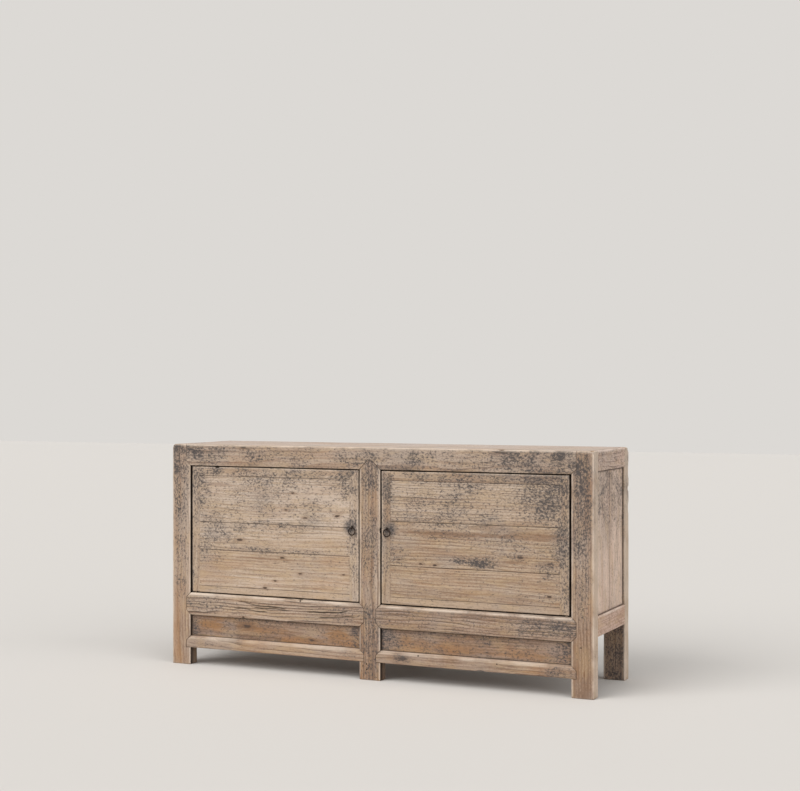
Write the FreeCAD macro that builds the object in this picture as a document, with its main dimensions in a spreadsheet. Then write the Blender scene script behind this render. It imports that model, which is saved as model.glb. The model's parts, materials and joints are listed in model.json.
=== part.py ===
"""A Chinese sideboard: flush mitred frame, floating panels, two pivot-hung doors and iron ring pulls.

The origin is the middle of the footprint on the floor, +X runs to the right, +Y to the back, +Z up.
The frame's front face stands back from the front of the box by the reach of the ring pulls.
"""
import FreeCAD, Part
import os
import re

# Driving sizes in millimetres; a name that ends in share is a part of the size that it follows
SIZES = {
    # Carcass
    "width": 1680,
    "depth": 420,
    "height": 840,
    # Posts
    "leg_width": 80,
    "leg_depth": 48,
    "centre_width": 84,
    # Rails, from the floor up
    "foot_height": 65,
    "low_rail_height": 45,
    "apron_height": 80,
    "middle_rail_height": 85,
    "top_rail_height": 80,
    "side_low_rail_height": 71,
    "side_top_rail_height": 70,
    "back_top_rail_height": 70,
    "rail_thickness": 40,
    "side_rail_thickness": 40,
    # Mitred laps on the front and the tenons behind them
    "lap_reach": 18,
    "lap_depth": 12,
    "point_share": 0.74,
    "tenon_setback": 16,
    "tenon_thickness": 12,
    "tenon_shoulder": 12,
    "tenon_wall": 4,
    "stub_tenon": 8,
    # Panels that float in grooves
    "groove_depth": 8,
    "groove_slack": 1.5,
    "apron_recess": 11,
    "apron_thickness": 14,
    "side_panel_recess": 9,
    "side_panel_thickness": 14,
    "back_panel_recess": 10,
    "back_panel_thickness": 12,
    "board_gap": 0.4,
    # Top
    "top_board_thickness": 20,
    "top_ledge": 15,
    "top_batten_place_share": 0.25,
    "top_batten_width": 40,
    "top_batten_height": 25,
    # Floor and shelf
    "floor_drop": 10,
    "floor_thickness": 18,
    "shelf_height_share": 0.5,
    "shelf_thickness": 16,
    "shelf_setback": 60,
    "bearer_width": 30,
    "bearer_height": 35,
    "notch_gap": 1,
    # Doors
    "door_thickness": 26,
    "door_recess": 1.5,
    "pivot_gap": 5,
    "latch_gap": 4,
    "door_top_gap": 3.5,
    "door_bottom_gap": 4,
    "door_stile_width": 36,
    "door_top_rail_height": 34,
    "door_bottom_rail_height": 26,
    "door_tenon_length": 14,
    "door_tenon_setback": 12,
    "door_tenon_thickness": 8,
    "door_tenon_shoulder": 8,
    "door_board_thickness": 15,
    "door_tongue_setback": 4,
    "door_tongue_thickness": 6,
    "door_groove_depth": 6,
    "door_groove_slack": 1,
    "door_batten_place_share": 0.25,
    "door_batten_width": 32,
    "left_door_lower_joint_share": 0.33,
    "left_door_upper_joint_share": 0.58,
    "right_door_lower_joint_share": 0.27,
    "right_door_upper_joint_share": 0.65,
    "stop_width": 12,
    "stop_clearance": 0.5,
    # Wooden pivots of the doors
    "pivot_inset": 14,
    "pivot_diameter": 14,
    "pivot_depth": 14,
    "pivot_clearance": 0.1,
    "pivot_end_gap": 0.3,
    "pivot_round": 8,
    # Ring pulls: a split pin with an eye, and the ring that hangs in it
    "pull_across_share": 0.66,
    "pull_height_share": 0.565,
    "eye_radius": 5,
    "eye_wire_radius": 1.5,
    "shank_radius": 2.4,
    "shank_clearance": 0.1,
    "tail_length": 18,
    "ring_radius": 13,
    "ring_wire_radius": 2,
    "ring_play": 0.3,
}

# Planes that the pieces share
EYE_SIZE = "(2 * (eye_radius + eye_wire_radius))"
FRONT = f"(({EYE_SIZE} - door_recess - depth) / 2)"
BACK = f"({FRONT} + depth)"
OUTER = "(width / 2)"
INNER = "(width / 2 - leg_width)"
CENTRE = "(centre_width / 2)"
LOW_TOP = "(foot_height + low_rail_height)"
MIDDLE_BOTTOM = f"({LOW_TOP} + apron_height)"
SILL = f"({MIDDLE_BOTTOM} + middle_rail_height)"
SIDE_LOW = f"({SILL} - side_low_rail_height)"
LINTEL = "(height - top_rail_height)"
SIDE_LINTEL = "(height - side_top_rail_height)"
BACK_LINTEL = "(height - back_top_rail_height)"
TOP_UNDERSIDE = "(height - top_board_thickness)"
TENON_TOP = f"({TOP_UNDERSIDE} - tenon_shoulder)"
FLOOR = f"({SILL} - floor_drop)"
FLOOR_UNDERSIDE = f"({FLOOR} - floor_thickness)"
SHELF = f"({SILL} + ({LINTEL} - {SILL}) * shelf_height_share)"
SHELF_UNDERSIDE = f"({SHELF} - shelf_thickness)"
SIDE_PANEL_INSIDE = f"({OUTER} - side_panel_recess - side_panel_thickness)"
DOOR_LATCH = f"({CENTRE} + latch_gap)"
DOOR_HINGE = f"({INNER} - pivot_gap)"
DOOR_LOW = f"({SILL} + door_bottom_gap)"
DOOR_HIGH = f"({LINTEL} - door_top_gap)"
PANEL_LOW = f"({DOOR_LOW} + door_bottom_rail_height)"
PANEL_HIGH = f"({DOOR_HIGH} - door_top_rail_height)"
PANEL_LATCH = f"({DOOR_LATCH} + door_stile_width)"
PANEL_HINGE = f"({DOOR_HINGE} - door_stile_width)"
DOOR_FACE = f"({FRONT} + door_recess)"
DOOR_REAR = f"({DOOR_FACE} + door_thickness)"
PIVOT_X = f"({DOOR_HINGE} - pivot_inset)"
PIVOT_Y = f"({DOOR_FACE} + door_thickness / 2)"
PULL_X = f"({DOOR_LATCH} + door_stile_width * pull_across_share)"
PULL_Y = f"({DOOR_FACE} - {EYE_SIZE} / 2)"
PULL_Z = f"({DOOR_LOW} + ({DOOR_HIGH} - {DOOR_LOW}) * pull_height_share)"
RING_DROP = "(eye_radius - eye_wire_radius - ring_wire_radius - ring_play)"

SIDES = ("left", "right")
QUARTER_TURN = 90
ALONG_X = FreeCAD.Rotation(FreeCAD.Vector(0, 1, 0), QUARTER_TURN)
ALONG_Y = FreeCAD.Rotation(FreeCAD.Vector(1, 0, 0), -QUARTER_TURN)

doc = FreeCAD.newDocument("sideboard")
sheet = doc.addObject("Spreadsheet::Sheet", "Sizes")
for row, (alias, value) in enumerate(SIZES.items(), start=1):
    sheet.set(f"A{row}", alias)
    sheet.set(f"B{row}", str(value))
    sheet.setAlias(f"B{row}", alias)
doc.recompute()
pieces = {}


def bind(item, **expressions):
    """Tie properties of an item to expressions written in the names of the sheet."""
    for path, words in expressions.items():
        words = re.sub(r"[a-z]\w*", r"Sizes.\g<0>", words)
        item.setExpression(path.replace("__", "."), words)


def place(item, x, y, z, turn=None):
    """Put an item's own origin at a point, with an optional turn about it."""
    if turn is not None:
        item.Placement = FreeCAD.Placement(FreeCAD.Vector(), turn)
    bind(item, Placement__Base__x=x, Placement__Base__y=y, Placement__Base__z=z)
    return item


def block(name, x, y, z):
    """A squared timber that fills three (low, high) ranges."""
    item = doc.addObject("Part::Box", name)
    for path, (low, high) in {"Length": x, "Width": y, "Height": z}.items():
        bind(item, **{path: f"({high}) - ({low})"})
    return place(item, x[0], y[0], z[0])


def rod(name, radius, length, x, y, z, turn=None):
    """A round bar from a point, along Z unless it is turned."""
    item = doc.addObject("Part::Cylinder", name)
    bind(item, Radius=radius, Height=length)
    return place(item, x, y, z, turn)


def hoop(name, radius, wire_radius, x, y, z, turn):
    """A closed ring of round wire about a point."""
    item = doc.addObject("Part::Torus", name)
    bind(item, Radius1=radius, Radius2=wire_radius)
    return place(item, x, y, z, turn)


def fuse(name, *items):
    """Several shapes grown into one piece of material."""
    item = doc.addObject("Part::MultiFuse", name)
    item.Shapes = list(items)
    item.Refine = True
    return item


def group(name, *items):
    """Several like pieces that stay separate solids."""
    item = doc.addObject("Part::Compound", name)
    item.Links = list(items)
    return item


def cut(name, base, *tools):
    """A piece less everything that is let into it."""
    item = doc.addObject("Part::Cut", name)
    item.Base = base
    item.Tool = tools[0] if len(tools) == 1 else group(f"{name}_tools", *tools)
    item.Refine = True
    return item


def keep(label, item):
    """Name a finished piece of the sideboard."""
    item.Label = label
    pieces[label] = item
    return item


def across(side, near, far):
    """The X range between two distances from the middle, on one side."""
    return (near, far) if side == "right" else (f"-({far})", f"-({near})")


def signed(side, distance):
    """The X place at a distance from the middle, on one side."""
    return distance if side == "right" else f"-({distance})"


def inward(face, near, far):
    """The Y range between two distances in from the frame's front or back face."""
    if face == "front":
        return f"{FRONT} + {near}", f"{FRONT} + {far}"
    return f"{BACK} - ({far})", f"{BACK} - ({near})"


def middle(size):
    """The X range of a piece centred on the sideboard."""
    return f"-({size}) / 2", f"({size}) / 2"


def halves(low, high, gap):
    """A range shared by two boards with a gap at the joint."""
    centre = f"(({low} + {high}) / 2)"
    return (low, f"({centre} - {gap} / 2)"), (f"({centre} + {gap} / 2)", high)


def lap(name, end, root, low, high, mitred_low, mitred_high):
    """The mitred tongue at a front rail's end, which lies over a post from its edge at root."""
    item = doc.addObject("Part::Wedge", name)
    thick = ("-lap_depth", "0") if end == "right" else ("0", "lap_depth")
    rise = f"{high} - {low}"
    bind(item, Xmin=thick[0], Xmax=thick[1], X2min=thick[0], X2max=thick[1])
    bind(item, Ymin="0", Ymax="lap_reach", Zmin="0", Zmax=rise)
    bind(item, Z2min="lap_reach" if mitred_low else "0")
    bind(item, Z2max=f"{rise} - lap_reach" if mitred_high else rise)
    quarter = -QUARTER_TURN if end == "right" else QUARTER_TURN
    return place(item, root, FRONT, low, FreeCAD.Rotation(FreeCAD.Vector(0, 0, 1), quarter))


def tenon(name, face, x, z):
    """A tenon behind the face of a front or back rail."""
    return block(name, x, inward(face, "tenon_setback", "tenon_setback + tenon_thickness"), z)


# A leg's tenon from the front or back stops short of the tenon that comes in from the side
LEG_TENON_END = f"({OUTER} - tenon_setback - tenon_thickness - tenon_wall)"
CENTRE_TENON_END = "tenon_wall"


def post_rail(name, face, side, low, high, mitres):
    """A rail from the centre post to a corner leg; mitres says which edges are mitred at a front lap."""
    shoulders = (f"{low} + tenon_shoulder", f"{high} - tenon_shoulder")
    shapes = [
        block(f"{name}_bar", across(side, CENTRE, INNER), inward(face, "0", "rail_thickness"), (low, high)),
        tenon(f"{name}_leg_tenon", face, across(side, INNER, LEG_TENON_END), shoulders),
        tenon(f"{name}_centre_tenon", face, across(side, CENTRE_TENON_END, CENTRE), shoulders),
    ]
    if mitres:
        inner_end = "left" if side == "right" else "right"
        shapes.append(lap(f"{name}_leg_lap", side, signed(side, INNER), low, high, *mitres))
        shapes.append(lap(f"{name}_centre_lap", inner_end, signed(side, CENTRE), low, high, *mitres))
    return fuse(f"{name}_joined", *shapes)


def through_rail(name, face, low, with_laps):
    """A top rail that runs between the two corner legs of the front or the back."""
    bar_y = inward(face, "0", "rail_thickness")
    shapes = [block(f"{name}_bar", (f"-{INNER}", INNER), bar_y, (low, "height"))]
    for side in SIDES:
        shoulders = (f"{low} + tenon_shoulder", TENON_TOP)
        shapes.append(tenon(f"{name}_{side}_tenon", face, across(side, INNER, LEG_TENON_END), shoulders))
        if with_laps:
            shapes.append(lap(f"{name}_{side}_lap", side, signed(side, INNER), low, "height", True, False))
    return fuse(f"{name}_joined", *shapes)


def side_rail(name, side, low, high, tenon_high):
    """A rail between the front and back legs of one end."""
    bar = block(
        f"{name}_bar",
        across(side, f"{OUTER} - side_rail_thickness", OUTER),
        (f"{FRONT} + leg_depth", f"{BACK} - leg_depth"),
        (low, high),
    )
    tenons = block(
        f"{name}_tenons",
        across(side, f"{OUTER} - tenon_setback - tenon_thickness", f"{OUTER} - tenon_setback"),
        (f"{FRONT} + lap_depth + tenon_wall", f"{BACK} - lap_depth - tenon_wall"),
        (f"{low} + tenon_shoulder", tenon_high),
    )
    return fuse(f"{name}_joined", bar, tenons)


def bearer(name, x, top):
    """A bar from the front posts to the back posts that carries boards, with a stub tenon at each end."""
    y = (f"{FRONT} + leg_depth - stub_tenon", f"{BACK} - leg_depth + stub_tenon")
    return block(name, x, y, (f"{top} - bearer_height", top))


# Recess for the top boards, and the grooves that panels and floor slide in
TOP_X = f"({OUTER} - side_rail_thickness + top_ledge)"
TOP_Y = inward("front", "rail_thickness - top_ledge", "depth - rail_thickness + top_ledge")
top_recess = block("top_recess", (f"-{TOP_X}", TOP_X), TOP_Y, (TOP_UNDERSIDE, "height"))

FLOOR_X = f"({OUTER} - side_rail_thickness + groove_depth)"
FLOOR_Y = inward("front", "rail_thickness - groove_depth", "depth - rail_thickness + groove_depth")
floor_groove = block(
    "floor_groove",
    (f"-{FLOOR_X} - groove_slack", f"{FLOOR_X} + groove_slack"),
    (f"{FLOOR_Y[0]} - groove_slack", f"{FLOOR_Y[1]} + groove_slack"),
    (FLOOR_UNDERSIDE, FLOOR),
)


def bay_panel(name, side, face, recess, thickness, z, reach):
    """A panel between the centre post and a leg that reaches into the grooves round it."""
    return block(
        name,
        across(side, f"{CENTRE} - ({reach})", f"{INNER} + {reach}"),
        inward(face, recess, f"{recess} + {thickness}"),
        (f"{z[0]} - ({reach})", f"{z[1]} + {reach}"),
    )


SIDE_PANEL_X = (SIDE_PANEL_INSIDE, f"{OUTER} - side_panel_recess")
SIDE_PANEL_Y = (f"{FRONT} + leg_depth - groove_depth", f"{BACK} - leg_depth + groove_depth")
SIDE_PANEL_Z = (f"{SILL} - groove_depth", f"{SIDE_LINTEL} + groove_depth")
GROOVE_REACH = "(groove_depth + groove_slack)"
apron_grooves = {}
back_grooves = {}
side_grooves = {}
for side in SIDES:
    apron_z = (LOW_TOP, MIDDLE_BOTTOM)
    apron_grooves[side] = bay_panel(
        f"{side}_apron_groove", side, "front", "apron_recess", "apron_thickness", apron_z, GROOVE_REACH)
    back_grooves[side] = bay_panel(
        f"{side}_back_groove", side, "back", "back_panel_recess", "back_panel_thickness",
        (SILL, BACK_LINTEL), GROOVE_REACH)
    side_grooves[side] = block(
        f"{side}_side_groove",
        across(side, *SIDE_PANEL_X),
        (f"{SIDE_PANEL_Y[0]} - groove_slack", f"{SIDE_PANEL_Y[1]} + groove_slack"),
        (f"{SIDE_PANEL_Z[0]} - groove_slack", f"{SIDE_PANEL_Z[1]} + groove_slack"),
    )

# Bars under the top, the floor and the shelf
BATTEN_REACH = "(width * top_batten_place_share)"
top_battens = []
for name, centre in (("left", f"-{BATTEN_REACH}"), ("centre", "0"), ("right", BATTEN_REACH)):
    batten_x = (f"{centre} - top_batten_width / 2", f"{centre} + top_batten_width / 2")
    batten_y = inward("front", "rail_thickness - stub_tenon", "depth - rail_thickness + stub_tenon")
    batten_z = (f"{TOP_UNDERSIDE} - top_batten_height", TOP_UNDERSIDE)
    top_battens.append(block(f"{name}_top_batten", batten_x, batten_y, batten_z))
keep("top_battens", group("top_batten_set", *top_battens))

floor_bearer = keep("floor_bearer", bearer("floor_bar", middle("bearer_width"), FLOOR_UNDERSIDE))
shelf_bearers = {"centre": bearer("centre_shelf_bar", middle("bearer_width"), SHELF_UNDERSIDE)}
for side in SIDES:
    bearer_x = across(
        side, f"{SIDE_PANEL_INSIDE} - notch_gap - bearer_width", f"{SIDE_PANEL_INSIDE} - notch_gap")
    shelf_bearers[side] = bearer(f"{side}_shelf_bar", bearer_x, SHELF_UNDERSIDE)
keep("shelf_bearers", group("shelf_bearer_set", *shelf_bearers.values()))

# Round sockets in the top and middle rails for the door pivots
pivot_sockets = {}
for side in SIDES:
    pivot_sockets[side] = rod(
        f"{side}_pivot_socket",
        "pivot_diameter / 2 + pivot_clearance",
        f"{LINTEL} - {SILL} + 2 * (pivot_depth + pivot_end_gap)",
        signed(side, PIVOT_X), PIVOT_Y, f"{SILL} - pivot_depth - pivot_end_gap",
    )

# The centre posts before their mortises: pointed at the front, plain at the back, both tenoned at the top
POINT_RISE = f"({CENTRE} * point_share)"
stile_point = doc.addObject("Part::Wedge", "stile_point")
bind(stile_point, Xmin=f"-{CENTRE}", Xmax=CENTRE, Ymin="0", Ymax=POINT_RISE)
bind(stile_point, X2min=f"{POINT_RISE} - {CENTRE}", X2max=f"{CENTRE} - {POINT_RISE}")
bind(stile_point, Zmin="-lap_depth", Zmax="0", Z2min="-lap_depth", Z2max="0")
place(stile_point, "0", FRONT, LINTEL, FreeCAD.Rotation(FreeCAD.Vector(1, 0, 0), QUARTER_TURN))
post_tenon_x = (f"tenon_shoulder - {CENTRE}", f"{CENTRE} - tenon_shoulder")
front_post = fuse(
    "front_post",
    block("front_post_bar", middle("centre_width"), inward("front", "0", "leg_depth"), ("0", LINTEL)),
    tenon("front_post_tenon", "front", post_tenon_x, (LINTEL, TENON_TOP)),
    stile_point,
)
back_post = fuse(
    "back_post",
    block("back_post_bar", middle("centre_width"), inward("back", "0", "leg_depth"), ("0", BACK_LINTEL)),
    tenon("back_post_tenon", "back", post_tenon_x, (BACK_LINTEL, TENON_TOP)),
)

# Rails
sockets = [pivot_sockets[side] for side in SIDES]
front_top_rail = keep("front_top_rail", cut(
    "front_top", through_rail("front_top", "front", LINTEL, True),
    top_recess, front_post, *sockets, *top_battens))
back_top_rail = keep("back_top_rail", cut(
    "back_top", through_rail("back_top", "back", BACK_LINTEL, False),
    top_recess, back_post, *back_grooves.values(), *top_battens))
front_rails = {}
back_rails = {}
side_rails = {}
for side in SIDES:
    middle_rail = cut(
        f"{side}_middle", post_rail(f"{side}_middle", "front", side, MIDDLE_BOTTOM, SILL, (True, True)),
        apron_grooves[side], floor_groove, pivot_sockets[side])
    low_rail = cut(
        f"{side}_low", post_rail(f"{side}_low", "front", side, "foot_height", LOW_TOP, (False, True)),
        apron_grooves[side])
    front_rails[side] = (keep(f"{side}_middle_rail", middle_rail), keep(f"{side}_low_rail", low_rail))
    back_rails[side] = keep(f"{side}_back_low_rail", cut(
        f"{side}_back_low", post_rail(f"{side}_back_low", "back", side, SIDE_LOW, SILL, None),
        back_grooves[side], floor_groove))
    side_top = cut(
        f"{side}_side_top", side_rail(f"{side}_side_top", side, SIDE_LINTEL, "height", TENON_TOP),
        side_grooves[side], top_recess)
    side_low = cut(
        f"{side}_side_low", side_rail(f"{side}_side_low", side, SIDE_LOW, SILL, f"{SILL} - tenon_shoulder"),
        side_grooves[side], floor_groove)
    side_rails[side] = (keep(f"{side}_side_top_rail", side_top), keep(f"{side}_side_low_rail", side_low))

# Posts, mortised and grooved for everything that meets them
keep("front_centre_post", cut(
    "front_centre", front_post, *front_rails["left"], *front_rails["right"],
    *apron_grooves.values(), floor_bearer, shelf_bearers["centre"]))
keep("back_centre_post", cut(
    "back_centre", back_post, *back_rails.values(), *back_grooves.values(),
    floor_bearer, shelf_bearers["centre"]))
for side in SIDES:
    entering = (side_grooves[side], *side_rails[side], shelf_bearers[side], top_recess)
    leg_x = across(side, INNER, OUTER)
    front_blank = block(f"{side}_front_blank", leg_x, inward("front", "0", "leg_depth"), ("0", "height"))
    back_blank = block(f"{side}_back_blank", leg_x, inward("back", "0", "leg_depth"), ("0", "height"))
    keep(f"{side}_front_leg", cut(
        f"{side}_front", front_blank, front_top_rail, *front_rails[side], apron_grooves[side], *entering))
    keep(f"{side}_back_leg", cut(
        f"{side}_back", back_blank, back_top_rail, back_rails[side], back_grooves[side], *entering))

# Floating panels: aprons below the doors, two upright boards at each end, two level boards in each back bay
for side in SIDES:
    keep(f"{side}_apron", bay_panel(
        f"{side}_apron_panel", side, "front", "apron_recess", "apron_thickness",
        (LOW_TOP, MIDDLE_BOTTOM), "groove_depth"))
    side_ys = halves(*SIDE_PANEL_Y, "board_gap")
    for name, board_y in zip(("front", "back"), side_ys):
        board = block(f"{side}_side_{name}_panel", across(side, *SIDE_PANEL_X), board_y, SIDE_PANEL_Z)
        keep(f"{side}_side_{name}_board", board)
    back_zs = halves(f"{SILL} - groove_depth", f"{BACK_LINTEL} + groove_depth", "board_gap")
    for name, board_z in zip(("lower", "upper"), back_zs):
        board = block(
            f"{side}_back_{name}_panel",
            across(side, f"{CENTRE} - groove_depth", f"{INNER} + groove_depth"),
            inward("back", "back_panel_recess", "back_panel_recess + back_panel_thickness"),
            board_z,
        )
        keep(f"{side}_back_{name}_board", board)

# Top boards side by side in their recess
TOP_BOARDS = ("front", "middle", "back")
top_share = f"(({TOP_Y[1]} - ({TOP_Y[0]})) / {len(TOP_BOARDS)})"
for count, name in enumerate(TOP_BOARDS):
    board_y = (f"{TOP_Y[0]} + {count} * {top_share} + board_gap / 2",
               f"{TOP_Y[0]} + {count + 1} * {top_share} - board_gap / 2")
    board_x = (f"board_gap / 2 - {TOP_X}", f"{TOP_X} - board_gap / 2")
    keep(f"top_{name}_board", block(f"top_{name}", board_x, board_y, (TOP_UNDERSIDE, "height")))

# Floor and shelf boards, notched round the posts
notch_z = (FLOOR_UNDERSIDE, SHELF)
front_notch_y = inward("front", "0", "leg_depth + notch_gap")
back_notch_y = inward("back", "0", "leg_depth + notch_gap")
front_notches = [block("front_post_notch", middle("centre_width + 2 * notch_gap"), front_notch_y, notch_z)]
back_notches = [block("back_post_notch", middle("centre_width + 2 * notch_gap"), back_notch_y, notch_z)]
for side in SIDES:
    notch_x = across(side, f"{INNER} - notch_gap", OUTER)
    front_notches.append(block(f"{side}_front_notch", notch_x, front_notch_y, notch_z))
    back_notches.append(block(f"{side}_back_notch", notch_x, back_notch_y, notch_z))
floor_ys = halves(*FLOOR_Y, "board_gap")
for name, board_y, notches in zip(("front", "back"), floor_ys, (front_notches, back_notches)):
    blank = block(f"floor_{name}_blank", (f"-{FLOOR_X}", FLOOR_X), board_y, (FLOOR_UNDERSIDE, FLOOR))
    keep(f"floor_{name}_board", cut(f"floor_{name}", blank, *notches))

SHELF_X = f"({SIDE_PANEL_INSIDE} - notch_gap)"
shelf_back = f"{BACK} - back_panel_recess - back_panel_thickness - notch_gap"
shelf_ys = halves(f"{FRONT} + shelf_setback", shelf_back, "board_gap")
shelf_blanks = []
for name, board_y in zip(("front", "back"), shelf_ys):
    shelf_z = (SHELF_UNDERSIDE, SHELF)
    shelf_blanks.append(block(f"shelf_{name}_blank", (f"-{SHELF_X}", SHELF_X), board_y, shelf_z))
keep("shelf_front_board", shelf_blanks[0])
keep("shelf_back_board", cut("shelf_back", shelf_blanks[1], *back_notches))

# Strips on the centre post that the doors close against
stop_y = inward("front", "door_recess + door_thickness + stop_clearance", "leg_depth")
stops = []
for side in SIDES:
    stop_x = across(side, CENTRE, f"{CENTRE} + stop_width")
    stops.append(block(f"{side}_stop", stop_x, stop_y, (SILL, LINTEL)))
keep("door_stops", group("door_stop_set", *stops))


def thick(near, far):
    """The Y range between two distances behind a door's face."""
    return f"{DOOR_FACE} + {near}", f"{DOOR_FACE} + {far}"


def door_rail(name, side, low, high):
    """A level member of a door's frame with its two tenons."""
    bar_x = across(side, PANEL_LATCH, PANEL_HINGE)
    bar = block(f"{name}_bar", bar_x, thick("0", "door_thickness"), (low, high))
    tenons = block(
        f"{name}_tenons",
        across(side, f"{PANEL_LATCH} - door_tenon_length", f"{PANEL_HINGE} + door_tenon_length"),
        thick("door_tenon_setback", "door_tenon_setback + door_tenon_thickness"),
        (f"{low} + door_tenon_shoulder", f"{high} - door_tenon_shoulder"),
    )
    return fuse(f"{name}_joined", bar, tenons)


def pivot_stile(name, side):
    """The hinge stile of a door, round at its swinging edge, with a pivot turned on each end."""
    door_z = (DOOR_LOW, DOOR_HIGH)
    round_x = f"{DOOR_HINGE} - pivot_round"
    edge_y = thick("pivot_round", "door_thickness")
    return fuse(
        f"{name}_joined",
        block(f"{name}_bar", across(side, PANEL_HINGE, round_x), thick("0", "door_thickness"), door_z),
        block(f"{name}_edge", across(side, round_x, DOOR_HINGE), edge_y, door_z),
        rod(f"{name}_round", "pivot_round", f"{DOOR_HIGH} - {DOOR_LOW}",
            signed(side, round_x), f"{DOOR_FACE} + pivot_round", DOOR_LOW),
        rod(f"{name}_pivots", "pivot_diameter / 2", f"{LINTEL} - {SILL} + 2 * pivot_depth",
            signed(side, PIVOT_X), PIVOT_Y, f"{SILL} - pivot_depth"),
    )


def door_board(name, side, z, tongue_z):
    """A level board of a door's panel: flush in front, with a tongue that slides in the frame's groove."""
    slab_x = across(side, PANEL_LATCH, PANEL_HINGE)
    slab = block(f"{name}_slab", slab_x, thick("0", "door_board_thickness"), z)
    tongue = block(
        f"{name}_tongue",
        across(side, f"{PANEL_LATCH} - door_groove_depth", f"{PANEL_HINGE} + door_groove_depth"),
        thick("door_tongue_setback", "door_tongue_setback + door_tongue_thickness"),
        tongue_z,
    )
    return fuse(f"{name}_joined", slab, tongue)


def door(side):
    """A framed door with three flush boards, two battens behind them and a bore for the pull."""
    reach = "(door_groove_depth + door_groove_slack)"
    groove = block(
        f"{side}_door_groove",
        across(side, f"{PANEL_LATCH} - {reach}", f"{PANEL_HINGE} + {reach}"),
        thick("door_tongue_setback", "door_tongue_setback + door_tongue_thickness"),
        (f"{PANEL_LOW} - {reach}", f"{PANEL_HIGH} + {reach}"),
    )
    batten_z = (f"{PANEL_LOW} - door_groove_depth", f"{PANEL_HIGH} + door_groove_depth")
    battens = []
    inset = f"(({PANEL_HINGE} - {PANEL_LATCH}) * door_batten_place_share)"
    for name, centre in {"latch": f"{PANEL_LATCH} + {inset}", "hinge": f"{PANEL_HINGE} - {inset}"}.items():
        batten_x = across(side, f"{centre} - door_batten_width / 2", f"{centre} + door_batten_width / 2")
        batten_y = thick("door_board_thickness", "door_thickness")
        battens.append(block(f"{side}_door_{name}_batten", batten_x, batten_y, batten_z))
    keep(f"{side}_door_battens", group(f"{side}_door_batten_set", *battens))

    rails = []
    for name, low, high in (("bottom", DOOR_LOW, PANEL_LOW), ("top", PANEL_HIGH, DOOR_HIGH)):
        blank = door_rail(f"{side}_door_{name}", side, low, high)
        rails.append(keep(f"{side}_door_{name}_rail", cut(f"{side}_door_{name}", blank, groove, *battens)))
    bore = rod(
        f"{side}_pull_bore", "shank_radius + shank_clearance", "door_thickness",
        signed(side, PULL_X), DOOR_FACE, PULL_Z, ALONG_Y)
    latch = block(
        f"{side}_latch_blank", across(side, DOOR_LATCH, PANEL_LATCH), thick("0", "door_thickness"),
        (DOOR_LOW, DOOR_HIGH))
    keep(f"{side}_door_latch_stile", cut(f"{side}_door_latch", latch, groove, bore, *rails))
    hinge = pivot_stile(f"{side}_pivot", side)
    keep(f"{side}_door_pivot_stile", cut(f"{side}_door_pivot", hinge, groove, *rails))

    rise = f"({PANEL_HIGH} - {PANEL_LOW})"
    lower_joint = f"({PANEL_LOW} + {rise} * {side}_door_lower_joint_share)"
    upper_joint = f"({PANEL_LOW} + {rise} * {side}_door_upper_joint_share)"
    slabs = {
        "lower": (PANEL_LOW, f"{lower_joint} - board_gap / 2"),
        "middle": (f"{lower_joint} + board_gap / 2", f"{upper_joint} - board_gap / 2"),
        "upper": (f"{upper_joint} + board_gap / 2", PANEL_HIGH),
    }
    tongues = dict(slabs)
    tongues["lower"] = (f"{PANEL_LOW} - door_groove_depth", slabs["lower"][1])
    tongues["upper"] = (slabs["upper"][0], f"{PANEL_HIGH} + door_groove_depth")
    for name in slabs:
        keep(f"{side}_door_{name}_board", door_board(f"{side}_door_{name}", side, slabs[name], tongues[name]))


def pull(side):
    """An iron split pin, its eye in front of the door and its tails spread behind it, and the ring."""
    x = signed(side, PULL_X)
    eye = hoop(f"{side}_eye", "eye_radius", "eye_wire_radius", x, PULL_Y, PULL_Z, ALONG_X)
    shank = rod(
        f"{side}_shank", "shank_radius", "door_thickness + 2 * eye_wire_radius",
        x, f"{DOOR_FACE} - eye_wire_radius", PULL_Z, ALONG_Y)
    tails = rod(
        f"{side}_tails", "eye_wire_radius", "2 * tail_length",
        x, f"{DOOR_REAR} + eye_wire_radius", f"{PULL_Z} - tail_length")
    keep(f"{side}_pull_pin", fuse(f"{side}_pin", eye, shank, tails))
    ring_z = f"{PULL_Z} - {RING_DROP} - ring_radius"
    keep(f"{side}_pull_ring", hoop(
        f"{side}_ring", "ring_radius", "ring_wire_radius", x, PULL_Y, ring_z, ALONG_Y))


for side in SIDES:
    door(side)
    pull(side)

# Every object has to be sound before any piece is written
doc.recompute()
failed = [item.Name for item in doc.Objects if {"Invalid", "Error"} & set(item.State)]
failed += [label for label, item in pieces.items() if item.Shape.isNull() or not item.Shape.isValid()]
if failed:
    raise RuntimeError(f"these objects failed: {failed}")
os.makedirs("parts", exist_ok=True)
for label, item in pieces.items():
    item.Shape.exportStep(f"parts/{label}.step")
print(f"{len(pieces)} pieces written")
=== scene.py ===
import json
import math
import random
from types import SimpleNamespace

import bmesh
import bpy
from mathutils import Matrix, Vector, kdtree, noise
from mathutils.geometry import intersect_point_line


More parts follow.
